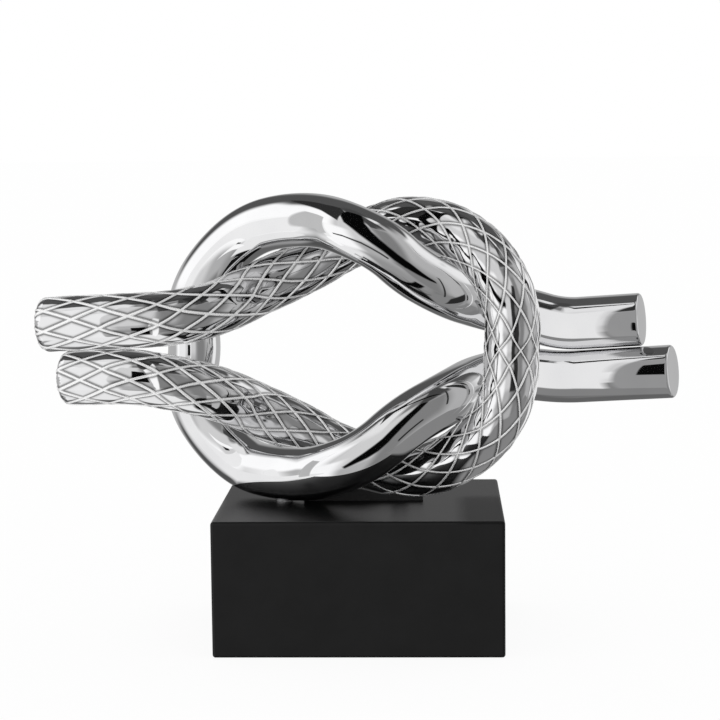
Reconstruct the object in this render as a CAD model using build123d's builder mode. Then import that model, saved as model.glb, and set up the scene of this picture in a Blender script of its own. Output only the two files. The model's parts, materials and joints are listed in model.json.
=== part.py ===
from build123d import *
import os

# A reef knot of two bent metal tubes, one smooth and one with a diamond lattice, on a black block.
# Millimetres. X runs to the right, Y away from the viewer and Z up.
# The origin is the middle of the face that the sculpture stands on.

# Block, and the felt pad let into its underside
base_width = 190
base_depth = 160
base_height = 89.5
base_edge_radius = 2
pad_thickness = 1.5
pad_recess = 1
pad_margin = 8
pad_clearance = 0.2

# Strands
smooth_diameter = 36
smooth_wall = 2.5
textured_diameter = 35.5
textured_wall = 2.5
strand_gap = 0.45
knot_rest_gap = 0.8

# Straight free ends: the gap between a strand's two ends at their roots, how far each runs on sideways
# from there, and how far it goes away from the viewer and up for each millimetre of that run
smooth_root_gap = 0.7
smooth_upper_run = 38
smooth_upper_lean = -0.28
smooth_upper_rise = 0.083
smooth_lower_run = 58.5
smooth_lower_lean = -0.35
smooth_lower_rise = 0.092
textured_root_gap = 1.5
textured_upper_run = 46.5
textured_upper_lean = 0.175
textured_upper_rise = -0.053
textured_lower_run = 32
textured_lower_lean = 0.243
textured_lower_rise = -0.044

# End caps, each with a spigot in the bore of its tube
smooth_cap_length = 3
smooth_cap_radius = 2
textured_cap_length = 6
textured_cap_radius = 5.5
cap_rim_land = 0.4
spigot_length = 6
spigot_clearance = 0.2

# Threaded bosses in the undersides of the strands, and their screws from below the block
boss_diameter = 12
boss_clearance = 0.1
boss_crown = 2.5
screw_diameter = 6
screw_head_diameter = 10
screw_head_height = 6
screw_socket_width = 5
screw_socket_depth = 3
screw_grip = 19
thread_engagement = 7.9
thread_clearance = 0.1
screw_tip_room = 1
screw_hole_clearance = 0.3
flat_washer_diameter = 12.5
flat_washer_thickness = 1.6
lock_washer_diameter = 10.2
lock_washer_thickness = 1.5
lock_washer_split = 1.2
washer_clearance = 0.2
pocket_clearance = 1

# Saddle under the lower crossing, with the two pins that hold it in place
saddle_length = 81
saddle_height = 8
saddle_low_height = 4.5
saddle_slope_length = 14
saddle_front = 4.5
saddle_end_gap = 7.2
saddle_boss_gap = 1
saddle_clearance = 0.25
saddle_pin_diameter = 3
saddle_pin_spacing = 16
saddle_pin_rise = 4.5
saddle_pin_drop = 5.5
saddle_pin_clearance = 0.05

# Dowels that tie the strands together where they lie closest
dowel_diameter = 5
dowel_length = 14
dowel_clearance = 0.05
route_samples = 600

# Heights that follow from these
base_bottom = pad_thickness - pad_recess
base_top = base_bottom + base_height

# Routes. A knot spreads with the thickness of its strands, so the stations of its woven part are given
# in pitches. One pitch is the distance between the centre lines of two strands that lie close together.
# A station is so far right, away from the viewer and up from the middle of the knot, and each strand
# is listed from its upper free end round its bight to its lower free end.
strand_pitch = (smooth_diameter + textured_diameter) / 2 + strand_gap

upper_left_crossing = (-3.20, 0.68)
upper_mid_crossing = (0.18, 2.09)
upper_right_crossing = (2.80, 0.63)
lower_left_crossing = (-3.26, -0.60)
lower_mid_crossing = (-0.31, -2.09)
lower_right_crossing = (2.74, -0.63)


def station(right, away, up):
    return Vector(right, away, up) * strand_pitch


def crossing(place, away):
    return station(place[0], away, place[1])


smooth_root_half = Vector(0, 0, (smooth_diameter + smooth_root_gap) / 2)
smooth_upper_root = station(4.15, 0.74, -0.14) + smooth_root_half
smooth_lower_root = station(4.15, 0.74, -0.14) - smooth_root_half
smooth_stations = [
    smooth_upper_root + Vector(1, smooth_upper_lean, smooth_upper_rise) * smooth_upper_run,
    smooth_upper_root,
    crossing(upper_right_crossing, 0.77),
    station(1.23, -0.41, 1.31),
    crossing(upper_mid_crossing, -0.80),
    station(-1.01, -0.14, 2.40),
    station(-2.33, 0.57, 1.99),
    crossing(upper_left_crossing, 0.74),
    station(-3.19, 0.66, -0.16),
    crossing(lower_left_crossing, 0.74),
    station(-2.42, 0.57, -2.12),
    station(-1.34, -0.14, -2.35),
    crossing(lower_mid_crossing, -0.80),
    station(1.28, -0.41, -1.09),
    crossing(lower_right_crossing, 0.77),
    smooth_lower_root,
    smooth_lower_root + Vector(1, smooth_lower_lean, smooth_lower_rise) * smooth_lower_run,
]

textured_root_half = Vector(0, 0, (textured_diameter + textured_root_gap) / 2)
textured_upper_root = station(-4.41, -0.80, 0.09) + textured_root_half
textured_lower_root = station(-4.41, -0.80, 0.09) - textured_root_half
textured_stations = [
    textured_upper_root + Vector(-1, textured_upper_lean, textured_upper_rise) * textured_upper_run,
    textured_upper_root,
    crossing(upper_left_crossing, -0.63),
    station(-1.46, 0.54, 1.29),
    crossing(upper_mid_crossing, 0.61),
    station(1.01, 0.14, 2.30),
    station(2.01, -0.38, 2.00),
    crossing(upper_right_crossing, -0.92),
    station(2.79, -0.89, 0.06),
    crossing(lower_right_crossing, -0.92),
    station(1.97, -0.37, -1.90),
    station(0.83, 0.16, -2.35),
    crossing(lower_mid_crossing, 0.61),
    station(-1.55, 0.54, -1.43),
    crossing(lower_left_crossing, -0.63),
    textured_lower_root,
    textured_lower_root + Vector(-1, textured_lower_lean, textured_lower_rise) * textured_lower_run,
]


def headings(stations):
    # The straight ends' own at the roots, and between them that of the circle through each station
    # and its two neighbours
    woven = stations[1:-1]
    first = (woven[0] - stations[0]).normalized()
    last = (stations[-1] - woven[-1]).normalized()
    inner = []
    for before, here, after in zip(woven, woven[1:], woven[2:]):
        arriving = here - before
        leaving = after - here
        inner.append((arriving / arriving.dot(arriving) + leaving / leaving.dot(leaving)).normalized())
    return [first] + inner + [last]


def route(stations):
    # Straight free ends, and two arcs with a common tangent between each woven station and the next
    woven = stations[1:-1]
    directions = headings(stations)
    with BuildLine() as line:
        Line(stations[0], woven[0])
        for start, leave, end, arrive in zip(woven, directions, woven[1:], directions[1:]):
            chord = end - start
            both = leave + arrive
            turn = 2 * (1 - leave.dot(arrive))
            reach = ((chord.dot(both) ** 2 + turn * chord.dot(chord)) ** 0.5 - chord.dot(both)) / turn
            knee = start + leave * reach
            far_knee = end - arrive * reach
            joint = (knee + far_knee) / 2
            TangentArc(start, joint, tangent=leave)
            TangentArc(joint, end, tangent=far_knee - knee)
        Line(woven[-1], stations[-1])
    return line.wires()[0]


def samples(path):
    return [path @ (step / route_samples) for step in range(route_samples + 1)]


def lowest(path):
    return min(samples(path), key=lambda point: point.Z)


# The knot stands so that the lower of its two undersides clears the block
smooth_drop = smooth_diameter / 2 - lowest(route(smooth_stations)).Z
textured_drop = textured_diameter / 2 - lowest(route(textured_stations)).Z
knot_middle = base_top + knot_rest_gap + max(smooth_drop, textured_drop)
knot_lift = Vector(0, 0, knot_middle)
smooth_route = route([point + knot_lift for point in smooth_stations])
textured_route = route([point + knot_lift for point in textured_stations])

# Each boss stands on the block below its strand's lowest point
smooth_foot = Vector(lowest(smooth_route).X, lowest(smooth_route).Y, base_top)
textured_foot = Vector(lowest(textured_route).X, lowest(textured_route).Y, base_top)


def quarter(path, side, half):
    # The stretch of a route on one side of the middle crossing, in the upper or lower half of the knot
    middle_crossing = upper_mid_crossing if half > 0 else lower_mid_crossing
    middle = middle_crossing[0] * strand_pitch
    return [
        point
        for point in samples(path)
        if (point.X - middle) * side > 0 and (point.Z - knot_middle) * half > 0
    ]


def dowel_plane(side, half):
    # Halfway across the gap where the strands lie closest, square to the line between their centre lines
    textured_points = quarter(textured_route, side, half)
    pairs = [(near, far) for near in quarter(smooth_route, side, half) for far in textured_points]
    near, far = min(pairs, key=lambda pair: (pair[1] - pair[0]).length)
    across = (far - near).normalized()
    gap = (far - near).length - (smooth_diameter + textured_diameter) / 2
    return Plane(origin=near + across * (smooth_diameter + gap) / 2, z_dir=across)


dowel_planes = {
    "upper_left_dowel": dowel_plane(-1, 1),
    "upper_right_dowel": dowel_plane(1, 1),
    "lower_left_dowel": dowel_plane(-1, -1),
    "lower_right_dowel": dowel_plane(1, -1),
}

# Screw stack, from the block's seat down to the screw head and up to the thread's end
seat_height = base_top - screw_grip
head_height = seat_height - flat_washer_thickness - lock_washer_thickness
screw_tip = base_top + thread_engagement
boss_hole_top = screw_tip + screw_tip_room
boss_top = boss_hole_top + boss_crown
washer_hole_diameter = screw_diameter + 2 * washer_clearance
pocket_diameter = max(flat_washer_diameter, screw_head_diameter) + 2 * pocket_clearance

# Saddle ends: clear of the smooth strand's boss, and in front of the textured strand's boss
saddle_left = smooth_foot.X + boss_diameter / 2 + saddle_end_gap
saddle_back = textured_foot.Y - boss_diameter / 2 - saddle_boss_gap
saddle_thickness = saddle_back + saddle_front
saddle_middle = (saddle_back - saddle_front) / 2
saddle_crossing = lower_mid_crossing[0] * strand_pitch
saddle_pin_places = [
    Vector(saddle_crossing - saddle_pin_spacing / 2, saddle_middle, base_top),
    Vector(saddle_crossing + saddle_pin_spacing / 2, saddle_middle, base_top),
]
upward = (Align.CENTER, Align.CENTER, Align.MIN)
downward = (Align.CENTER, Align.CENTER, Align.MAX)

os.makedirs("parts", exist_ok=True)


def save(piece, node):
    piece.label = node
    export_step(piece, f"parts/{node}.step")


# Block
with BuildPart() as base_block:
    with BuildSketch(Plane.XY.offset(base_bottom)):
        Rectangle(base_width, base_depth)
    extrude(amount=base_height)
    fillet(base_block.edges(), base_edge_radius)
    with BuildSketch(Plane.XY.offset(base_bottom)):
        Rectangle(
            base_width - 2 * pad_margin + 2 * pad_clearance,
            base_depth - 2 * pad_margin + 2 * pad_clearance,
        )
    extrude(amount=pad_recess, mode=Mode.SUBTRACT)
    for foot in (smooth_foot, textured_foot):
        with Locations(Plane(origin=(foot.X, foot.Y, base_bottom), z_dir=(0, 0, -1))):
            CounterBoreHole(
                radius=screw_diameter / 2 + screw_hole_clearance,
                counter_bore_radius=pocket_diameter / 2,
                counter_bore_depth=seat_height - base_bottom,
            )
    with Locations(*saddle_pin_places):
        Hole(saddle_pin_diameter / 2 + saddle_pin_clearance, saddle_pin_drop)
save(base_block.part, "base_block")

# Felt pad
with BuildPart() as base_felt_pad:
    with BuildSketch():
        Rectangle(base_width - 2 * pad_margin, base_depth - 2 * pad_margin)
    extrude(amount=pad_thickness)
save(base_felt_pad.part, "base_felt_pad")


def strand(path, diameter, wall, foot):
    with BuildPart() as tube:
        with BuildSketch(Plane(origin=path @ 0, x_dir=(0, 0, 1), z_dir=path % 0)):
            Circle(diameter / 2)
            Circle(diameter / 2 - wall, mode=Mode.SUBTRACT)
        sweep(path=path)
        with Locations(foot):
            Cylinder(
                boss_diameter / 2 + boss_clearance,
                boss_top - base_top,
                align=upward,
                mode=Mode.SUBTRACT,
            )
        with Locations(*dowel_planes.values()):
            Cylinder(dowel_diameter / 2 + dowel_clearance, dowel_length, mode=Mode.SUBTRACT)
    return tube.part


save(strand(smooth_route, smooth_diameter, smooth_wall, smooth_foot), "smooth_strand")
save(strand(textured_route, textured_diameter, textured_wall, textured_foot), "textured_strand")


def end_cap(plane, diameter, wall, length, edge_radius):
    with BuildPart(plane) as cap:
        Cylinder(diameter / 2, length, align=upward)
        outer_face = cap.faces().sort_by(Axis(plane.origin, plane.z_dir))[-1]
        fillet(outer_face.edges(), min(edge_radius, length - cap_rim_land))
        Cylinder(diameter / 2 - wall - spigot_clearance, spigot_length, align=downward)
    return cap.part


for name, path, diameter, wall, length, edge_radius in (
    ("smooth", smooth_route, smooth_diameter, smooth_wall, smooth_cap_length, smooth_cap_radius),
    ("textured", textured_route, textured_diameter, textured_wall, textured_cap_length, textured_cap_radius),
):
    upper_end = Plane(origin=path @ 0, z_dir=(path % 0) * -1)
    lower_end = Plane(origin=path @ 1, z_dir=path % 1)
    save(end_cap(upper_end, diameter, wall, length, edge_radius), f"{name}_upper_end_cap")
    save(end_cap(lower_end, diameter, wall, length, edge_radius), f"{name}_lower_end_cap")

# Saddle, a low wall whose top is hollowed to the strands that lie on it
with BuildPart() as saddle:
    with BuildSketch(Plane.XZ.offset(saddle_front)):
        with BuildLine():
            Polyline(
                (saddle_left, base_top),
                (saddle_left + saddle_length, base_top),
                (saddle_left + saddle_length, base_top + saddle_low_height),
                (saddle_slope_length, base_top + saddle_low_height),
                (0, base_top + saddle_height),
                (saddle_left, base_top + saddle_height),
                close=True,
            )
        make_face()
    extrude(amount=-saddle_thickness)
    for path, diameter in ((smooth_route, smooth_diameter), (textured_route, textured_diameter)):
        with BuildSketch(Plane(origin=path @ 0, z_dir=path % 0)):
            Circle(diameter / 2 + saddle_clearance)
        sweep(path=path, mode=Mode.SUBTRACT)
    with Locations(*saddle_pin_places):
        Cylinder(
            saddle_pin_diameter / 2 + saddle_pin_clearance,
            saddle_pin_rise,
            align=upward,
            mode=Mode.SUBTRACT,
        )
save(saddle.part, "saddle")

with BuildPart() as saddle_pins:
    for place in saddle_pin_places:
        with Locations(place - Vector(0, 0, saddle_pin_drop)):
            Cylinder(saddle_pin_diameter / 2, saddle_pin_drop + saddle_pin_rise, align=upward)
save(saddle_pins.part, "saddle_pins")

# Dowels between the strands
for name, plane in dowel_planes.items():
    with BuildPart(plane) as dowel:
        Cylinder(dowel_diameter / 2, dowel_length)
    save(dowel.part, name)

# Boss, screw and washers under each strand
for name, foot in (("smooth", smooth_foot), ("textured", textured_foot)):
    with BuildPart(Plane(foot)) as mounting_boss:
        Cylinder(boss_diameter / 2, boss_top - base_top, align=upward)
        Cylinder(
            screw_diameter / 2 + thread_clearance,
            boss_hole_top - base_top,
            align=upward,
            mode=Mode.SUBTRACT,
        )
    save(mounting_boss.part, f"{name}_mounting_boss")

    with BuildPart(Plane((foot.X, foot.Y, head_height))) as mounting_screw:
        Cylinder(screw_head_diameter / 2, screw_head_height, align=downward)
        Cylinder(screw_diameter / 2, screw_tip - head_height, align=upward)
        with BuildSketch(Plane((foot.X, foot.Y, head_height - screw_head_height))):
            RegularPolygon(screw_socket_width / 2, 6, major_radius=False)
        extrude(amount=screw_socket_depth, mode=Mode.SUBTRACT)
    save(mounting_screw.part, f"{name}_mounting_screw")

    with BuildPart() as flat_washer:
        with BuildSketch(Plane((foot.X, foot.Y, seat_height - flat_washer_thickness))):
            Circle(flat_washer_diameter / 2)
            Circle(washer_hole_diameter / 2, mode=Mode.SUBTRACT)
        extrude(amount=flat_washer_thickness)
    save(flat_washer.part, f"{name}_flat_washer")

    with BuildPart() as lock_washer:
        with BuildSketch(Plane((foot.X, foot.Y, head_height))):
            Circle(lock_washer_diameter / 2)
            Circle(washer_hole_diameter / 2, mode=Mode.SUBTRACT)
            Rectangle(
                lock_washer_diameter,
                lock_washer_split,
                align=(Align.MIN, Align.CENTER),
                mode=Mode.SUBTRACT,
            )
        extrude(amount=lock_washer_thickness)
    save(lock_washer.part, f"{name}_lock_washer")
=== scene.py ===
import json
import math

import bmesh
import bpy
import numpy as np
from mathutils import Matrix


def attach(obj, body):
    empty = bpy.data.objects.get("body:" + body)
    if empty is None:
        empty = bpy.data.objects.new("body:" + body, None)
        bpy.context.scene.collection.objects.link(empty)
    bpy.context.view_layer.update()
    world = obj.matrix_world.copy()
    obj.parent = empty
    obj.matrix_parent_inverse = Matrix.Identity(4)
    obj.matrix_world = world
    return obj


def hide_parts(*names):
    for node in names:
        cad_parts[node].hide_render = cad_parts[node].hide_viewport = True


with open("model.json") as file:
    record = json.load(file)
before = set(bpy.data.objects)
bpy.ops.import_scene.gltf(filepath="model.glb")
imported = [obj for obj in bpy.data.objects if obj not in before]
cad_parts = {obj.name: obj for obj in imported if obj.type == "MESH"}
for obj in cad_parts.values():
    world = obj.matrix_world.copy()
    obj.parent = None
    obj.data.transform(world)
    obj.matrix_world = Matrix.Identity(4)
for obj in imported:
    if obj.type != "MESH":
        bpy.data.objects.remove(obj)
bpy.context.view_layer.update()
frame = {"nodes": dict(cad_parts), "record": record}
nodes = frame["nodes"]
millimetre = 0.001

# Camera, at the photograph's angle
camera_place = (49.6, -1343.3, 338.1)
camera_yaw = math.radians(-2.119)
camera_pitch = math.radians(6.470)
camera_roll = math.radians(-0.580)
camera_lens = 100
camera_sensor = 36
camera_reach_metres = 100

# Knot dimensions in millimetres, as in the solids
base_top = 90
knot_rest_gap = 0.8
smooth_diameter = 36
textured_diameter = 35.5
strand_gap = 0.45
smooth_root_gap = 0.7
smooth_upper_run = 38
smooth_upper_slope = (-0.28, 0.083)
smooth_lower_run = 58.5
smooth_lower_slope = (-0.35, 0.092)
textured_root_gap = 1.5
textured_upper_run = 46.5
textured_upper_slope = (0.175, -0.053)
textured_lower_run = 32
textured_lower_slope = (0.243, -0.044)
smooth_cap_length = 3
smooth_cap_radius = 2
textured_cap_length = 6
textured_cap_radius = 5.5
spigot_length = 6
spigot_radius_drop = 2.7
strand_pitch = (smooth_diameter + textured_diameter) / 2 + strand_gap

# Raised lattice of the textured strand. Its row spacing and twist follow the crossings in the photograph
cells_round = 8
row_spacing_places = (0, 75, 120, 145, 200, 302, 353, 400, 450, 520, 600, 655, 695, 730, 790)
row_spacings = (21, 15, 14.7, 16.9, 16.5, 13.1, 11.8, 12.2, 14.3, 13.9, 15.3, 17.9, 13.5, 12.9, 17.3)
rows_before_bight = 8.1
lattice_twist_places = (0, 80, 120, 200, 303, 353, 415, 520, 620, 730, 790)
lattice_twist_turns = (40.3, 36.4, 26.7, 21.2, 10.2, 25.1, 29.3, 25.5, 30.8, 47.3, 48.2)
bead_height = 0.75
bead_fullness = 4
bead_half_width_at_bight = 0.05
bead_half_width_at_ends = 0.08
bead_edge_step = 0.084
# Band beside each bead that the material darkens as painted shade
groove_from_bead = 1.35
groove_offset = 0.014
groove_spread = 0.34
groove_least_spread = 0.02
pillow_height = 0.75
pillow_edge = 0.29
lattice_steps = (0, 0.022, 0.044, 0.062, 0.074, bead_edge_step, 0.096, 0.112, 0.135, 0.18, 0.25, 0.36)
lattice_fade_start = 0.55
lattice_margin = 40
widening_fade = (0.1, 0.45)
widening_passes = 2

# Finish of the plating, with satin beads on the lattice lightened as a painted highlight and its grooves
# darkened as painted shade
plating_dark = (0.77, 0.77, 0.78)
plating_light = (0.82, 0.82, 0.825)
noise_low = 0.3
noise_high = 0.7
# Painted highlight on the bead crests: a near white colour with less metal in it, over a real satin
# roughness
bead_painted_highlight = 0.95
bead_highlight_metallic = 0.45
bead_dullness = 0.3
bead_dullness_edges = (0.1, 0.9)
# Grey of the painted shade in the grooves
painted_groove_shade = 0.2

# Studio round the knot as its mirror finish shows it: middle bearing, half width and softness in
# degrees from the camera's side to the right, low and high elevation and their softness, and level
plating_brightness = 0.8
studio_level = 172
studio_panels = (
    (0, 200, 10, -100, -45, 22, 145),
    (-70, 26, 20, -60, -24, 20, 224),
    (0, 200, 10, -100, -72, 20, 104),
    (80, 46, 20, -78, -35, 24, 120),
    (60, 45, 20, -72, -63, 6, 56),
    (176, 96, 20, 16, 100, 12, 78),
    (173, 16, 16, 0, 36, 16, 165),
    (-154, 46, 16, -45, -25, 12, 78),
    (167, 34, 22, -92, -22, 12, 96),
    (-17, 31, 8, -13, 57, 15, 204),
    (-84, 30, 24, 11, 52, 9, 252),
    (-55, 21, 20, -42, 15, 10, 249),
    (-50, 36, 12, 50, 76, 12, 224),
    (9, 14, 6, 58, 73, 6, 120),
    (40, 22, 6, 48, 83, 6, 66),
    (73, 36, 12, -3, 49, 18, 174),
    (36, 20, 22, -41, 47, 6, 124),
    (73, 15, 6, 64, 75, 6, 222),
    (117, 24, 28, 17, 36, 6, 232),
    (108, 10, 6, -22, 5, 6, 232),
    (0, 200, 10, 78, 120, 10, 66),
)

# Studio cards close to the knot, in millimetres: the axis that a card faces and its place on it, its
# middle line in the two other axes, half width, soft border and level
across, away, above = 0, 1, 2
studio_cards = (
    ("upper_flag", away, -62, ((4, 800), (-2, 520), (-10, 400), (-11, 335), (-7, 304), (5, 281), (14, 270),
                               (24, 261), (35, 251), (50, 241), (66, 236), (80, 231), (88, 229)),
     (60, 42, 29, 22, 15, 8, 6, 5, 6, 7, 6, 3.5, 1.5), 3, 6),
    ("lower_flag", away, -63, ((-16, 117), (-5, 124), (4, 129), (13, 135), (22, 143), (31, 154), (40, 167),
                               (49, 182), (58, 202)),
     (1.2, 3, 4.5, 5.5, 5.5, 6, 6, 6, 5), 2.5, 6),
    ("low_streak", away, -64, ((46, 134), (56, 141), (70, 150)), 1.5, 2, 30),
    ("thin_flag", away, -65, ((-60, 262), (-33, 265), (-17, 263), (-5, 261), (5, 256), (15, 250),
                              (23, 244)), 1.2, 1.5, 60),
    ("bight_flag", away, -28, ((97, 194), (97, 218)), 27, 3, 40),
    ("bight_streak", away, -60, ((104, 168), (104, 245)), 2.2, 2, 45),
    ("upper_patch", across, -75, ((-45, 256), (-45, 316)), 8, 2, 186),
    ("lower_patch", across, -75, ((-48, 104), (-48, 150)), 8, 2, 178),
    ("top_flag", across, -70, ((-45, 342), (-45, 600)), 46, 6, 44),
    ("leg_card", away, -103, ((-268, 60), (-268, 320)), 68, 3, 234),
    ("leg_flag", away, -75, ((-141, 172), (-141, 195)), 9, 1.5, 10),
    ("leg_shutter", across, -127, ((-67, 150), (-67, 215)), 12, 3, 248),
    ("arm_left_card", away, -15, ((128, 132), (128, 246)), 20, 8, 228),
    ("arm_card", away, -33, ((178, 95), (178, 250)), 28, 6, 146),
    ("arm_top_card", away, -32, ((178, 256), (178, 330)), 28, 6, 46),
    ("arm_flag", away, -31, ((181, 174), (181, 205)), 12, 1.5, 8),
    ("right_low_card", above, 92, ((160, -110), (160, 14)), 88, 10, 128),
    ("left_low_card", above, 92, ((-170, -110), (-170, 2)), 70, 8, 230),
)

# Mesh density, cuts and sharp edges
sample_step = 0.25
smooth_ring_step = 1.6
ring_sides = 128
cap_arc_steps = 14
cap_face_rings = 6
cut_margin = 20
cut_tolerance = 1e-5
weld_distance = 1e-4
smooth_sharp_degrees = 40
lattice_sharp_degrees = 60

# Floor: half its side in millimetres, its grey, and the share of its look that is plain light
floor_half = 25000
floor_grey = 0.92
floor_glow_share = 0.92


def station(right, back, up):
    return np.array((right, back, up)) * strand_pitch


def crossing(place, back):
    return station(place[0], back, place[1])


def free_end(root, side, run, slope):
    return root + np.array((side, *slope)) * run


upper_left = (-3.20, 0.68)
upper_mid = (0.18, 2.09)
upper_right = (2.80, 0.63)
lower_left = (-3.26, -0.60)
lower_mid = (-0.31, -2.09)
lower_right = (2.74, -0.63)
upright = np.array((0.0, 0.0, 1.0))
toward_viewer = np.array((0.0, -1.0, 0.0))
smooth_half = upright * (smooth_diameter + smooth_root_gap) / 2
smooth_upper_root = station(4.15, 0.74, -0.14) + smooth_half
smooth_lower_root = station(4.15, 0.74, -0.14) - smooth_half
textured_half = upright * (textured_diameter + textured_root_gap) / 2
textured_upper_root = station(-4.41, -0.80, 0.09) + textured_half
textured_lower_root = station(-4.41, -0.80, 0.09) - textured_half

smooth_stations = [
    free_end(smooth_upper_root, 1, smooth_upper_run, smooth_upper_slope),
    smooth_upper_root,
    crossing(upper_right, 0.77),
    station(1.23, -0.41, 1.31),
    crossing(upper_mid, -0.80),
    station(-1.01, -0.14, 2.40),
    station(-2.33, 0.57, 1.99),
    crossing(upper_left, 0.74),
    station(-3.19, 0.66, -0.16),
    crossing(lower_left, 0.74),
    station(-2.42, 0.57, -2.12),
    station(-1.34, -0.14, -2.35),
    crossing(lower_mid, -0.80),
    station(1.28, -0.41, -1.09),
    crossing(lower_right, 0.77),
    smooth_lower_root,
    free_end(smooth_lower_root, 1, smooth_lower_run, smooth_lower_slope),
]
textured_stations = [
    free_end(textured_upper_root, -1, textured_upper_run, textured_upper_slope),
    textured_upper_root,
    crossing(upper_left, -0.63),
    station(-1.46, 0.54, 1.29),
    crossing(upper_mid, 0.61),
    station(1.01, 0.14, 2.30),
    station(2.01, -0.38, 2.00),
    crossing(upper_right, -0.92),
    station(2.79, -0.89, 0.06),
    crossing(lower_right, -0.92),
    station(1.97, -0.37, -1.90),
    station(0.83, 0.16, -2.35),
    crossing(lower_mid, 0.61),
    station(-1.55, 0.54, -1.43),
    crossing(lower_left, -0.63),
    textured_lower_root,
    free_end(textured_lower_root, -1, textured_lower_run, textured_lower_slope),
]
bight_station = 8


def unit(vector):
    return vector / np.linalg.norm(vector)


def arc_points(start, heading, finish):
    """Points of the arc that leaves start along heading and ends at finish, without start."""
    chord = finish - start
    side = unit(np.cross(np.cross(heading, chord), heading))
    half_turn = math.atan2(chord @ side, chord @ heading)
    radius = np.linalg.norm(chord) / (2 * math.sin(half_turn))
    count = math.ceil(2 * half_turn * radius / sample_step)
    turns = np.linspace(0, 2 * half_turn, count + 1)[1:, None]
    return start + radius * (heading * np.sin(turns) + side * (1 - np.cos(turns)))


def line_points(start, finish):
    count = math.ceil(np.linalg.norm(finish - start) / sample_step)
    return start + (finish - start) * np.linspace(0, 1, count + 1)[:, None]


def centre_line(stations):
    """Straight free ends, with a pair of arcs between each two stations of the woven run."""
    woven = stations[1:-1]
    headings = [unit(woven[0] - stations[0])]
    for before, here, after in zip(woven, woven[1:], woven[2:]):
        back, on = here - before, after - here
        headings.append(unit(back / (back @ back) + on / (on @ on)))
    headings.append(unit(stations[-1] - woven[-1]))
    pieces = [line_points(stations[0], woven[0])]
    for start, out, finish, into in zip(woven, headings, woven[1:], headings[1:]):
        span, both = finish - start, out + into
        turn = 2 * (1 - out @ into)
        along = span @ both
        reach = (math.sqrt(along * along + turn * (span @ span)) - along) / turn
        knee, far_knee = start + out * reach, finish - into * reach
        joint = (knee + far_knee) / 2
        pieces.append(arc_points(start, out, joint))
        pieces.append(arc_points(joint, unit(far_knee - knee), finish))
    pieces.append(line_points(woven[-1], stations[-1])[1:])
    return np.vstack(pieces)


class Strand:
    """A strand's centre line with a frame that is carried along it without twist."""

    def __init__(self, stations, diameter, cap_length, cap_radius, lift):
        self.radius = diameter / 2
        self.cap_land = cap_length - cap_radius
        self.cap_radius = cap_radius
        self.cap_length = cap_length
        self.cap_arc = self.cap_land + cap_radius * math.pi / 2
        self.place = centre_line(stations) + upright * lift
        steps = np.linalg.norm(np.diff(self.place, axis=0), axis=1)
        self.along = np.concatenate(((0,), np.cumsum(steps)))
        self.length = self.along[-1]
        heading = np.gradient(self.place, self.along, axis=0)
        self.heading = heading / np.linalg.norm(heading, axis=1)[:, None]
        bight = stations[bight_station] + upright * lift
        self.bight = int(np.argmin(np.linalg.norm(self.place - bight, axis=1)))
        self.face = np.zeros_like(self.place)
        self.carry(toward_viewer)

    def carry(self, facing):
        count = len(self.place)
        for order in (range(self.bight, count), range(self.bight, -1, -1)):
            last = facing
            for index in order:
                heading = self.heading[index]
                last = unit(last - (last @ heading) * heading)
                self.face[index] = last

    def sample(self, values, along):
        return np.stack([np.interp(along, self.along, values[:, axis]) for axis in range(3)], axis=1)

    def surface(self, along, turn, height=0):
        """Points at a place along the strand and a turn round it, past an end on its rounded cap."""
        inside = np.clip(along, 0, self.length)
        over = np.abs(along - inside)
        place = self.sample(self.place, inside)
        heading = self.sample(self.heading, inside)
        heading = heading / np.linalg.norm(heading, axis=1)[:, None]
        face = self.sample(self.face, inside)
        face = face - np.sum(face * heading, axis=1)[:, None] * heading
        face = face / np.linalg.norm(face, axis=1)[:, None]
        other = np.cross(heading, face)
        outward = face * np.cos(turn)[:, None] + other * np.sin(turn)[:, None]
        onward = heading * np.where(along < 0, -1, 1)[:, None]
        lean = np.clip((over - self.cap_land) / self.cap_radius, 0, math.pi / 2)
        reach = np.minimum(over, self.cap_land) + self.cap_radius * np.sin(lean)
        radius = self.radius - self.cap_radius * (1 - np.cos(lean))
        normal = outward * np.cos(lean)[:, None] + onward * np.sin(lean)[:, None]
        plain = place + outward * radius[:, None] + onward * reach[:, None]
        return plain + normal * np.reshape(height, (-1, 1))


def undersides():
    smooth_low = centre_line(smooth_stations)[:, 2].min() - smooth_diameter / 2
    textured_low = centre_line(textured_stations)[:, 2].min() - textured_diameter / 2
    return min(smooth_low, textured_low)


knot_middle = base_top + knot_rest_gap - undersides()
smooth = Strand(smooth_stations, smooth_diameter, smooth_cap_length, smooth_cap_radius, knot_middle)
textured = Strand(
    textured_stations, textured_diameter, textured_cap_length, textured_cap_radius, knot_middle
)
textured_bight_place = textured.along[textured.bight]


# Lattice over the textured strand, in rows along it and cells round it

cell_turn = 2 * math.pi / cells_round
lattice_places = np.arange(-lattice_margin, textured.length + lattice_margin, sample_step)
lattice_rows = np.cumsum(sample_step / np.interp(lattice_places, row_spacing_places, row_spacings))
lattice_rows += rows_before_bight - np.interp(textured_bight_place, lattice_places, lattice_rows)


def smooth_step(value, low, high):
    t = np.clip((value - low) / (high - low), 0, 1)
    return t * t * (3 - 2 * t)


def twist_at(along):
    return np.radians(np.interp(along, lattice_twist_places, lattice_twist_turns))


def bead_half_width(along):
    from_bight = np.clip(np.abs(along - textured_bight_place) / textured_bight_place, 0, 1)
    growth = bead_half_width_at_ends - bead_half_width_at_bight
    return bead_half_width_at_bight + growth * from_bight


def from_line(value):
    return np.abs(value - np.round(value))


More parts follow.
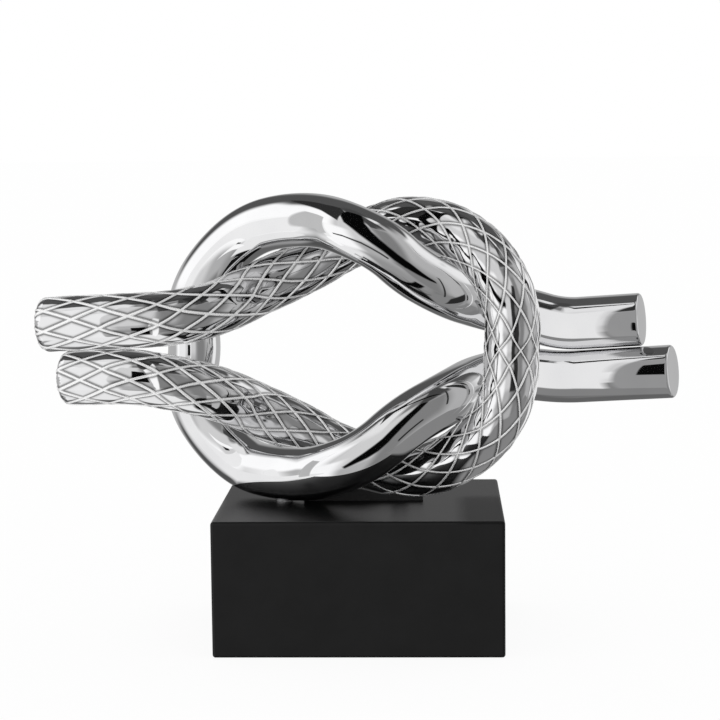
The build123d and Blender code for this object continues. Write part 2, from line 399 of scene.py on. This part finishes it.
def relief(along, turn):
    """Height of the lattice above the strand's plain surface, and the shares of bead and of groove, where
    the material paints a highlight and shade.
    """
    round_place = (turn - twist_at(along)) / cell_turn
    rows = np.interp(along, lattice_places, lattice_rows)
    first = from_line(round_place - rows / 2)
    second = from_line(round_place + rows / 2)
    half = bead_half_width(along)
    nearest = np.minimum(first, second)
    bead = np.clip(1 - (nearest / half) ** bead_fullness, 0, 1)
    groove_place = half * groove_from_bead + groove_offset
    groove_width = half * groove_spread + groove_least_spread
    groove = np.exp(-(((nearest - groove_place) / groove_width) ** 2)) * (1 - bead)
    pillow = (1 - np.exp(-(first / pillow_edge) ** 2)) * (1 - np.exp(-(second / pillow_edge) ** 2))
    over = np.maximum(np.maximum(-along, along - textured.length), 0)
    fade = 1 - smooth_step(over, lattice_fade_start * textured.cap_arc, textured.cap_arc)
    height = (bead_height * bead + pillow_height * pillow) * fade
    return height, bead * fade, groove * fade


def widened(step, half):
    """Moves a mesh step near a lattice line outward, so that the bead's edge keeps its mesh lines."""
    near = np.abs(step - np.round(step))
    grown = near * (1 + (half / bead_edge_step - 1) * (1 - smooth_step(near, *widening_fade)))
    return np.round(step) + np.sign(step - np.round(step)) * grown


def lattice_mesh():
    """Vertices as place along and turn round, and quads, in a net that runs with the lattice lines."""
    half_steps = list(lattice_steps) + [0.5]
    steps = np.array(half_steps + [1 - value for value in reversed(half_steps[1:-1])])
    per_cell = len(steps)
    round_count = cells_round * per_cell
    row_low = np.interp(-lattice_margin / 2, lattice_places, lattice_rows)
    row_high = np.interp(textured.length + lattice_margin / 2, lattice_places, lattice_rows)
    index_low = math.floor(row_low) * per_cell
    index_high = math.ceil(row_high) * per_cell

    def grid_value(index):
        return index // per_cell + steps[index % per_cell]

    first_index = np.repeat(np.arange(round_count), index_high - index_low + 1)
    shift = np.tile(np.arange(index_low, index_high + 1), round_count)
    first = grid_value(first_index)
    second = grid_value(first_index + shift)
    for _ in range(widening_passes):
        along = np.interp(second - first, lattice_rows, lattice_places)
        half = bead_half_width(along)
        first = widened(grid_value(first_index), half)
        second = widened(grid_value(first_index + shift), half)
    along = np.interp(second - first, lattice_rows, lattice_places)
    turn = twist_at(along) + (first + second) / 2 * cell_turn
    width = index_high - index_low + 1

    def vertex(first_place, second_place):
        row = second_place - first_place
        return (first_place % round_count) * width + row - index_low

    quads = []
    for first_place in range(round_count):
        for row in range(index_low, index_high):
            second_place = first_place + row
            corners = (
                (first_place, second_place),
                (first_place + 1, second_place),
                (first_place + 1, second_place + 1),
                (first_place, second_place + 1),
            )
            if all(index_low <= b - a <= index_high for a, b in corners):
                quads.append([vertex(a, b) for a, b in corners])
    return along, turn, quads


def new_object(name, points, faces):
    mesh = bpy.data.meshes.new(name)
    mesh.from_pydata((np.asarray(points) * millimetre).tolist(), [], faces)
    mesh.update()
    piece = bpy.data.objects.new(name, mesh)
    bpy.context.scene.collection.objects.link(piece)
    return piece


def tidy_normals(piece, sharp_degrees):
    net = bmesh.new()
    net.from_mesh(piece.data)
    bmesh.ops.recalc_face_normals(net, faces=net.faces)
    net.to_mesh(piece.data)
    net.free()
    piece.data.shade_smooth()
    piece.data.set_sharp_from_angle(angle=math.radians(sharp_degrees))


ring_turns = np.arange(ring_sides) * 2 * math.pi / ring_sides


def ring_faces(rings):
    """Quads between each ring of points and the next."""
    faces = []
    for ring in range(rings - 1):
        for side in range(ring_sides):
            after = (side + 1) % ring_sides
            low, high = ring * ring_sides, (ring + 1) * ring_sides
            faces.append((low + side, low + after, high + after, high + side))
    return faces


def smooth_strand_piece():
    count = math.ceil(smooth.length / smooth_ring_step)
    along = np.repeat(np.linspace(0, smooth.length, count + 1), ring_sides)
    points = smooth.surface(along, np.tile(ring_turns, count + 1))
    faces = ring_faces(count + 1)
    faces.append(tuple(reversed(range(ring_sides))))
    faces.append(tuple(count * ring_sides + side for side in range(ring_sides)))
    return new_object("smooth_strand_skin", points, faces)


def smooth_cap_piece(name, upper):
    """A turned cap: rim, rounded edge, flat face, and the spigot that goes into the tube."""
    spigot_radius = smooth.radius - spigot_radius_drop
    face_radius = smooth.radius - smooth.cap_radius
    profile = [(-spigot_length, spigot_radius), (0, spigot_radius), (0, smooth.radius)]
    for lean in np.linspace(0, math.pi / 2, cap_arc_steps + 1):
        reach = smooth.cap_land + smooth.cap_radius * math.sin(lean)
        profile.append((reach, face_radius + smooth.cap_radius * math.cos(lean)))
    for ring in range(1, cap_face_rings):
        profile.append((smooth.cap_length, face_radius * (1 - ring / cap_face_rings)))
    index = 0 if upper else -1
    place = smooth.place[index]
    onward = smooth.heading[index] * (-1 if upper else 1)
    face = smooth.face[index]
    other = np.cross(onward, face)
    outward = face * np.cos(ring_turns)[:, None] + other * np.sin(ring_turns)[:, None]
    points = np.vstack([place + onward * reach + outward * radius for reach, radius in profile])
    points = np.vstack((points, place - onward * spigot_length, place + onward * smooth.cap_length))
    back_pole, front_pole = len(points) - 2, len(points) - 1
    faces = ring_faces(len(profile))
    last = (len(profile) - 1) * ring_sides
    for side in range(ring_sides):
        after = (side + 1) % ring_sides
        faces.append((back_pole, after, side))
        faces.append((front_pole, last + side, last + after))
    return new_object(name, points, faces)


def textured_pieces():
    """The lattice net, cut square at both ends of the strand and at both caps' faces, and closed."""
    along, turn, quads = lattice_mesh()
    cylinder = np.stack((along, np.cos(turn), np.sin(turn)), axis=1)
    cuts = (
        ("textured_upper_cap_skin", -textured.cap_arc, 0),
        ("textured_strand_skin", 0, textured.length),
        ("textured_lower_cap_skin", textured.length, textured.length + textured.cap_arc),
    )
    made = {}
    for name, low, high in cuts:
        net = bmesh.new()
        corners = [net.verts.new(point) for point in cylinder.tolist()]
        for quad in quads:
            places = [along[index] for index in quad]
            if max(places) > low - cut_margin and min(places) < high + cut_margin:
                net.faces.new([corners[index] for index in quad])
        loose = [vertex for vertex in net.verts if not vertex.link_faces]
        bmesh.ops.delete(net, geom=loose, context="VERTS")
        for cut_place, side in ((low, -1), (high, 1)):
            bmesh.ops.bisect_plane(
                net,
                geom=net.verts[:] + net.edges[:] + net.faces[:],
                dist=cut_tolerance,
                plane_co=(cut_place, 0, 0),
                plane_no=(side, 0, 0),
                clear_outer=True,
            )
        bmesh.ops.remove_doubles(net, verts=net.verts[:], dist=weld_distance)
        net.verts.ensure_lookup_table()
        flat = np.array([vertex.co for vertex in net.verts])
        place = np.clip(flat[:, 0], low, high)
        angle = np.arctan2(flat[:, 2], flat[:, 1])
        height, bead, groove = relief(place, angle)
        points = textured.surface(place, angle, height) * millimetre
        for vertex, point in zip(net.verts, points.tolist()):
            vertex.co = point
        edges = [edge for edge in net.edges if edge.is_boundary]
        bmesh.ops.holes_fill(net, edges=edges, sides=0)
        bmesh.ops.recalc_face_normals(net, faces=net.faces)
        mesh = bpy.data.meshes.new(name)
        net.to_mesh(mesh)
        net.free()
        # Shares that the material uses for a painted highlight on the beads and painted shade in the
        # grooves
        for share_name, share in (("bead", bead), ("groove", groove)):
            attribute = mesh.attributes.new(share_name, "FLOAT", "POINT")
            attribute.data.foreach_set("value", share.astype(np.float32))
        mesh.shade_smooth()
        mesh.set_sharp_from_angle(angle=math.radians(lattice_sharp_degrees))
        piece = bpy.data.objects.new(name, mesh)
        bpy.context.scene.collection.objects.link(piece)
        made[name] = piece
    return made


# Materials

def new_material(name):
    material = bpy.data.materials.new(name)
    material.use_nodes = True
    tree = material.node_tree
    shader = tree.nodes["Principled BSDF"]
    return material, tree, shader


def add_node(tree, kind, **inputs):
    node = tree.nodes.new(kind)
    for name, value in inputs.items():
        node.inputs[name.replace("_", " ")].default_value = value
    return node


def noise(tree, scale, detail, roughness=0.5):
    coordinates = tree.nodes.new("ShaderNodeTexCoord")
    texture = add_node(tree, "ShaderNodeTexNoise", Scale=scale, Detail=detail, Roughness=roughness)
    tree.links.new(coordinates.outputs["Object"], texture.inputs["Vector"])
    return texture


def ranged(tree, source, low, high, from_low=noise_low, from_high=noise_high):
    node = add_node(tree, "ShaderNodeMapRange", From_Min=from_low, From_Max=from_high)
    node.inputs["To Min"].default_value = low
    node.inputs["To Max"].default_value = high
    tree.links.new(source, node.inputs["Value"])
    return node.outputs["Result"]


def tinted(tree, source, dark, light):
    ramp = tree.nodes.new("ShaderNodeValToRGB")
    ramp.color_ramp.elements[0].position = noise_low
    ramp.color_ramp.elements[0].color = (*dark, 1)
    ramp.color_ramp.elements[1].position = noise_high
    ramp.color_ramp.elements[1].color = (*light, 1)
    tree.links.new(source, ramp.inputs["Fac"])
    return ramp.outputs["Color"]


def bumped(tree, shader, source, strength, distance):
    bump = add_node(tree, "ShaderNodeBump", Strength=strength, Distance=distance)
    tree.links.new(source, bump.inputs["Height"])
    tree.links.new(bump.outputs["Normal"], shader.inputs["Normal"])


def plating(name, smoothest, dullest):
    material, tree, shader = new_material(name)
    shader.inputs["Metallic"].default_value = 1
    film = noise(tree, scale=35, detail=4)
    colour = tinted(tree, film.outputs["Fac"], plating_dark, plating_light)
    tree.links.new(colour, shader.inputs["Base Color"])
    haze = noise(tree, scale=180, detail=6, roughness=0.65)
    roughness = ranged(tree, haze.outputs["Fac"], smoothest, dullest)
    tree.links.new(roughness, shader.inputs["Roughness"])
    return material, tree, shader, colour, roughness


def share_of(tree, attribute_name):
    attribute = tree.nodes.new("ShaderNodeAttribute")
    attribute.attribute_name = attribute_name
    return attribute.outputs["Fac"]


def blended(tree, share, ground, cover):
    """Colour that goes over from a socket's to a constant grey with a share."""
    mix = tree.nodes.new("ShaderNodeMix")
    mix.data_type = "RGBA"
    factor, first, second = mix.inputs[0], mix.inputs[6], mix.inputs[7]
    tree.links.new(share, factor)
    tree.links.new(ground, first)
    second.default_value = (cover, cover, cover, 1)
    return mix.outputs[2]


def polished_plating():
    return plating("polished_plating", smoothest=0.03, dullest=0.05)[0]


def lattice_plating():
    material, tree, shader, colour, roughness = plating("lattice_plating", smoothest=0.035, dullest=0.06)
    bead = share_of(tree, "bead")
    groove = share_of(tree, "groove")
    # Painted shade darkens the grooves, and a painted highlight lightens the beads, whose crests are also
    # less metallic and rougher
    colour = blended(tree, groove, colour, painted_groove_shade)
    colour = blended(tree, bead, colour, bead_painted_highlight)
    tree.links.new(colour, shader.inputs["Base Color"])
    tree.links.new(ranged(tree, bead, 1, bead_highlight_metallic, 0, 1), shader.inputs["Metallic"])
    total = tree.nodes.new("ShaderNodeMath")
    total.operation = "ADD"
    tree.links.new(roughness, total.inputs[0])
    tree.links.new(ranged(tree, bead, 0, bead_dullness, *bead_dullness_edges), total.inputs[1])
    tree.links.new(total.outputs["Value"], shader.inputs["Roughness"])
    return material


def coated(name, dark, light, mottle_scale, smoothest, dullest, grain_scale, bump_strength, bump_distance):
    material, tree, shader = new_material(name)
    mottle = noise(tree, mottle_scale, detail=5, roughness=0.6)
    tree.links.new(tinted(tree, mottle.outputs["Fac"], dark, light), shader.inputs["Base Color"])
    grain = noise(tree, grain_scale, detail=3, roughness=0.6)
    tree.links.new(ranged(tree, grain.outputs["Fac"], smoothest, dullest), shader.inputs["Roughness"])
    bumped(tree, shader, grain.outputs["Fac"], bump_strength, bump_distance)
    return material, shader


def black_lacquer():
    material, shader = coated(
        "black_lacquer",
        dark=(0.0022, 0.0022, 0.0023),
        light=(0.0044, 0.0044, 0.0046),
        mottle_scale=45,
        smoothest=0.42,
        dullest=0.56,
        grain_scale=900,
        bump_strength=0.12,
        bump_distance=0.0002,
    )
    shader.inputs["Specular IOR Level"].default_value = 0.02
    shader.inputs["Coat Weight"].default_value = 0.5
    shader.inputs["Coat Roughness"].default_value = 0.3
    return material


def black_steel():
    material, _ = coated(
        "black_steel",
        dark=(0.006, 0.006, 0.006),
        light=(0.012, 0.012, 0.012),
        mottle_scale=80,
        smoothest=0.45,
        dullest=0.6,
        grain_scale=1500,
        bump_strength=0.1,
        bump_distance=0.0001,
    )
    return material


def plain_steel():
    material, shader = coated(
        "plain_steel",
        dark=(0.5, 0.5, 0.51),
        light=(0.6, 0.6, 0.6),
        mottle_scale=120,
        smoothest=0.25,
        dullest=0.4,
        grain_scale=1800,
        bump_strength=0.08,
        bump_distance=0.0001,
    )
    shader.inputs["Metallic"].default_value = 1
    return material


def black_felt():
    material, shader = coated(
        "black_felt",
        dark=(0.008, 0.008, 0.008),
        light=(0.03, 0.03, 0.03),
        mottle_scale=900,
        smoothest=0.9,
        dullest=1.0,
        grain_scale=2600,
        bump_strength=0.6,
        bump_distance=0.0006,
    )
    shader.inputs["Sheen Weight"].default_value = 0.4
    return material


slot_materials = {
    "polished_plating": polished_plating(),
    "lattice_plating": lattice_plating(),
    "black_lacquer": black_lacquer(),
    "black_steel": black_steel(),
    "plain_steel": plain_steel(),
    "black_felt": black_felt(),
}


def dress(piece, material):
    piece.data.materials.clear()
    piece.data.materials.append(material)


def place_piece(piece, node, slot):
    dress(piece, slot_materials[slot])
    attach(piece, "root")
    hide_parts(node)


# Pieces

smooth_skin = smooth_strand_piece()
tidy_normals(smooth_skin, smooth_sharp_degrees)
place_piece(smooth_skin, "smooth_strand", "polished_plating")
for cap_name, cap_node, is_upper in (
    ("smooth_upper_cap_skin", "smooth_upper_end_cap", True),
    ("smooth_lower_cap_skin", "smooth_lower_end_cap", False),
):
    cap = smooth_cap_piece(cap_name, is_upper)
    tidy_normals(cap, smooth_sharp_degrees)
    place_piece(cap, cap_node, "polished_plating")

lattice_nodes = {
    "textured_strand_skin": "textured_strand",
    "textured_upper_cap_skin": "textured_upper_end_cap",
    "textured_lower_cap_skin": "textured_lower_end_cap",
}
for piece_name, piece in textured_pieces().items():
    place_piece(piece, lattice_nodes[piece_name], "lattice_plating")
    piece.visible_glossy = False

for subpart in frame["record"]["subparts"]:
    node = nodes[subpart["node"]]
    dress(node, slot_materials[subpart["material_slot"]])


# Floor, light and camera

floor_corners = np.array(((-1, -1, 0), (1, -1, 0), (1, 1, 0), (-1, 1, 0))) * floor_half
floor = new_object("floor", floor_corners, [(0, 1, 2, 3)])
floor.visible_glossy = False
floor_material, floor_tree, floor_shader = new_material("pale_floor")
floor_shader.inputs["Base Color"].default_value = (floor_grey, floor_grey, floor_grey, 1)
floor_shader.inputs["Roughness"].default_value = 1
floor_shader.inputs["Specular IOR Level"].default_value = 0
floor_glow = add_node(floor_tree, "ShaderNodeEmission", Color=(1, 1, 1, 1), Strength=1)
floor_rays = floor_tree.nodes.new("ShaderNodeLightPath")
floor_seen = floor_tree.nodes.new("ShaderNodeMath")
floor_seen.operation = "MAXIMUM"
floor_tree.links.new(floor_rays.outputs["Is Camera Ray"], floor_seen.inputs[0])
floor_tree.links.new(floor_rays.outputs["Is Glossy Ray"], floor_seen.inputs[1])
floor_share = floor_tree.nodes.new("ShaderNodeMath")
floor_share.operation = "MULTIPLY"
floor_tree.links.new(floor_seen.outputs["Value"], floor_share.inputs[0])
floor_share.inputs[1].default_value = floor_glow_share
floor_mix = floor_tree.nodes.new("ShaderNodeMixShader")
floor_tree.links.new(floor_share.outputs["Value"], floor_mix.inputs["Fac"])
floor_tree.links.new(floor_shader.outputs["BSDF"], floor_mix.inputs[1])
floor_tree.links.new(floor_glow.outputs["Emission"], floor_mix.inputs[2])
floor_tree.links.new(floor_mix.outputs["Shader"], floor_tree.nodes["Material Output"].inputs["Surface"])
dress(floor, floor_material)

world = bpy.data.worlds.new("studio")
bpy.context.scene.world = world
world.use_nodes = True
world_tree = world.node_tree
plain_sky = world_tree.nodes["Background"]
plain_sky.inputs["Color"].default_value = (1, 1, 1, 1)
plain_sky.inputs["Strength"].default_value = 1
studio_sky = add_node(world_tree, "ShaderNodeBackground", Strength=1)
world_rays = world_tree.nodes.new("ShaderNodeLightPath")
sky_mix = world_tree.nodes.new("ShaderNodeMixShader")
world_tree.links.new(world_rays.outputs["Is Glossy Ray"], sky_mix.inputs["Fac"])
world_tree.links.new(plain_sky.outputs["Background"], sky_mix.inputs[1])
world_tree.links.new(studio_sky.outputs["Background"], sky_mix.inputs[2])
world_tree.links.new(sky_mix.outputs["Shader"], world_tree.nodes["World Output"].inputs["Surface"])
direction = world_tree.nodes.new("ShaderNodeTexCoord")
split = world_tree.nodes.new("ShaderNodeSeparateXYZ")
world_tree.links.new(direction.outputs["Generated"], split.inputs["Vector"])


def world_math(operation, first, second=None, third=None):
    node = world_tree.nodes.new("ShaderNodeMath")
    node.operation = operation
    for index, value in enumerate((first, second, third)):
        if value is None:
            continue
        if isinstance(value, (int, float)):
            node.inputs[index].default_value = value
        else:
            world_tree.links.new(value, node.inputs[index])
    return node.outputs["Value"]


def world_ramp(value, start, finish, rising):
    node = add_node(world_tree, "ShaderNodeMapRange", From_Min=start, From_Max=finish)
    node.interpolation_type = "SMOOTHSTEP"
    node.inputs["To Min"].default_value = 0 if rising else 1
    node.inputs["To Max"].default_value = 1 if rising else 0
    world_tree.links.new(value, node.inputs["Value"])
    return node.outputs["Result"]


def tone(level):
    """Linear brightness of the panel that the plating shows at this level, on a scale of 0 to 255."""
    share = level / 255
    linear = share / 12.92 if share <= 0.04045 else ((share + 0.055) / 1.055) ** 2.4
    return linear / plating_brightness


degrees_per_radian = 180 / math.pi
to_camera_side = world_math("MULTIPLY", split.outputs["Y"], -1)
bearing = world_math("ARCTAN2", split.outputs["X"], to_camera_side)
bearing = world_math("MULTIPLY", bearing, degrees_per_radian)
rise = world_math("MULTIPLY", world_math("ARCSINE", split.outputs["Z"]), degrees_per_radian)
panel_value = tone(studio_level)
for middle, half, soft, low, high, edge, level in studio_panels:
    aside = world_math("ABSOLUTE", world_math("WRAP", world_math("SUBTRACT", bearing, middle), 180, -180))
    share = world_ramp(aside, half - soft / 2, half + soft / 2, False)
    share = world_math("MULTIPLY", share, world_ramp(rise, low - edge / 2, low + edge / 2, True))
    share = world_math("MULTIPLY", share, world_ramp(rise, high - edge / 2, high + edge / 2, False))
    change = world_math("SUBTRACT", tone(level), panel_value)
    panel_value = world_math("MULTIPLY_ADD", change, share, panel_value)
world_tree.links.new(panel_value, studio_sky.inputs["Color"])


def card_material(name, level):
    """Light of one level that fades out with the card's border."""
    material = bpy.data.materials.new(name)
    material.use_nodes = True
    tree = material.node_tree
    tree.nodes.remove(tree.nodes["Principled BSDF"])
    shine = tone(level)
    light = add_node(tree, "ShaderNodeEmission", Color=(shine, shine, shine, 1), Strength=1)
    clear = tree.nodes.new("ShaderNodeBsdfTransparent")
    mix = tree.nodes.new("ShaderNodeMixShader")
    tree.links.new(share_of(tree, "cover"), mix.inputs["Fac"])
    tree.links.new(clear.outputs["BSDF"], mix.inputs[1])
    tree.links.new(light.outputs["Emission"], mix.inputs[2])
    tree.links.new(mix.outputs["Shader"], tree.nodes["Material Output"].inputs["Surface"])
    return material


def studio_card(name, axis, place, line, half_width, border, level):
    """A flat card along a line, seen in the mirror finish alone."""
    line = np.array(line, float)
    heading = np.gradient(line, axis=0)
    heading /= np.linalg.norm(heading, axis=1)[:, None]
    half_widths = np.broadcast_to(half_width, len(line))
    half_widths = np.concatenate((half_widths[:1], half_widths, half_widths[-1:]))
    line = np.vstack((line[0] - heading[0] * border, line, line[-1] + heading[-1] * border))
    heading = np.vstack((heading[0], heading, heading[-1]))
    side = np.stack((heading[:, 1], -heading[:, 0]), axis=1)
    offsets = np.stack((-half_widths - border, -half_widths, half_widths, half_widths + border), axis=1)
    flat = line[:, None, :] + side[:, None, :] * offsets[:, :, None]
    cover = np.zeros(flat.shape[:2])
    cover[1:-1, 1:-1] = 1
    columns = flat.shape[1]
    faces = []
    for row in range(len(line) - 1):
        for column in range(columns - 1):
            first = row * columns + column
            faces.append((first, first + 1, first + columns + 1, first + columns))
    card = new_object(name, np.insert(flat.reshape(-1, 2), axis, place, axis=1), faces)
    attribute = card.data.attributes.new("cover", "FLOAT", "POINT")
    attribute.data.foreach_set("value", cover.ravel().astype(np.float32))
    dress(card, card_material(name, level))
    card.visible_camera = False
    card.visible_diffuse = False
    card.visible_transmission = False
    card.visible_shadow = False


for card_values in studio_cards:
    studio_card(*card_values)

forward_flat = np.array((math.sin(camera_yaw), math.cos(camera_yaw), 0))
forward = forward_flat * math.cos(camera_pitch) - upright * math.sin(camera_pitch)
level_right = np.array((math.cos(camera_yaw), -math.sin(camera_yaw), 0))
level_up = forward_flat * math.sin(camera_pitch) + upright * math.cos(camera_pitch)
frame_right = math.cos(camera_roll) * level_right + math.sin(camera_roll) * level_up
frame_up = math.cos(camera_roll) * level_up - math.sin(camera_roll) * level_right
camera_data = bpy.data.cameras.new("photo_camera")
camera_data.lens = camera_lens
camera_data.sensor_width = camera_sensor
camera_data.clip_end = camera_reach_metres
camera = bpy.data.objects.new("photo_camera", camera_data)
bpy.context.scene.collection.objects.link(camera)
axes = np.stack((frame_right, frame_up, -forward), axis=1)
camera_turn = Matrix(axes.tolist()).to_4x4()
camera.matrix_world = Matrix.Translation(np.array(camera_place) * millimetre) @ camera_turn
bpy.context.scene.camera = camera
bpy.context.scene.view_settings.view_transform = "Standard"

bpy.context.view_layer.update()
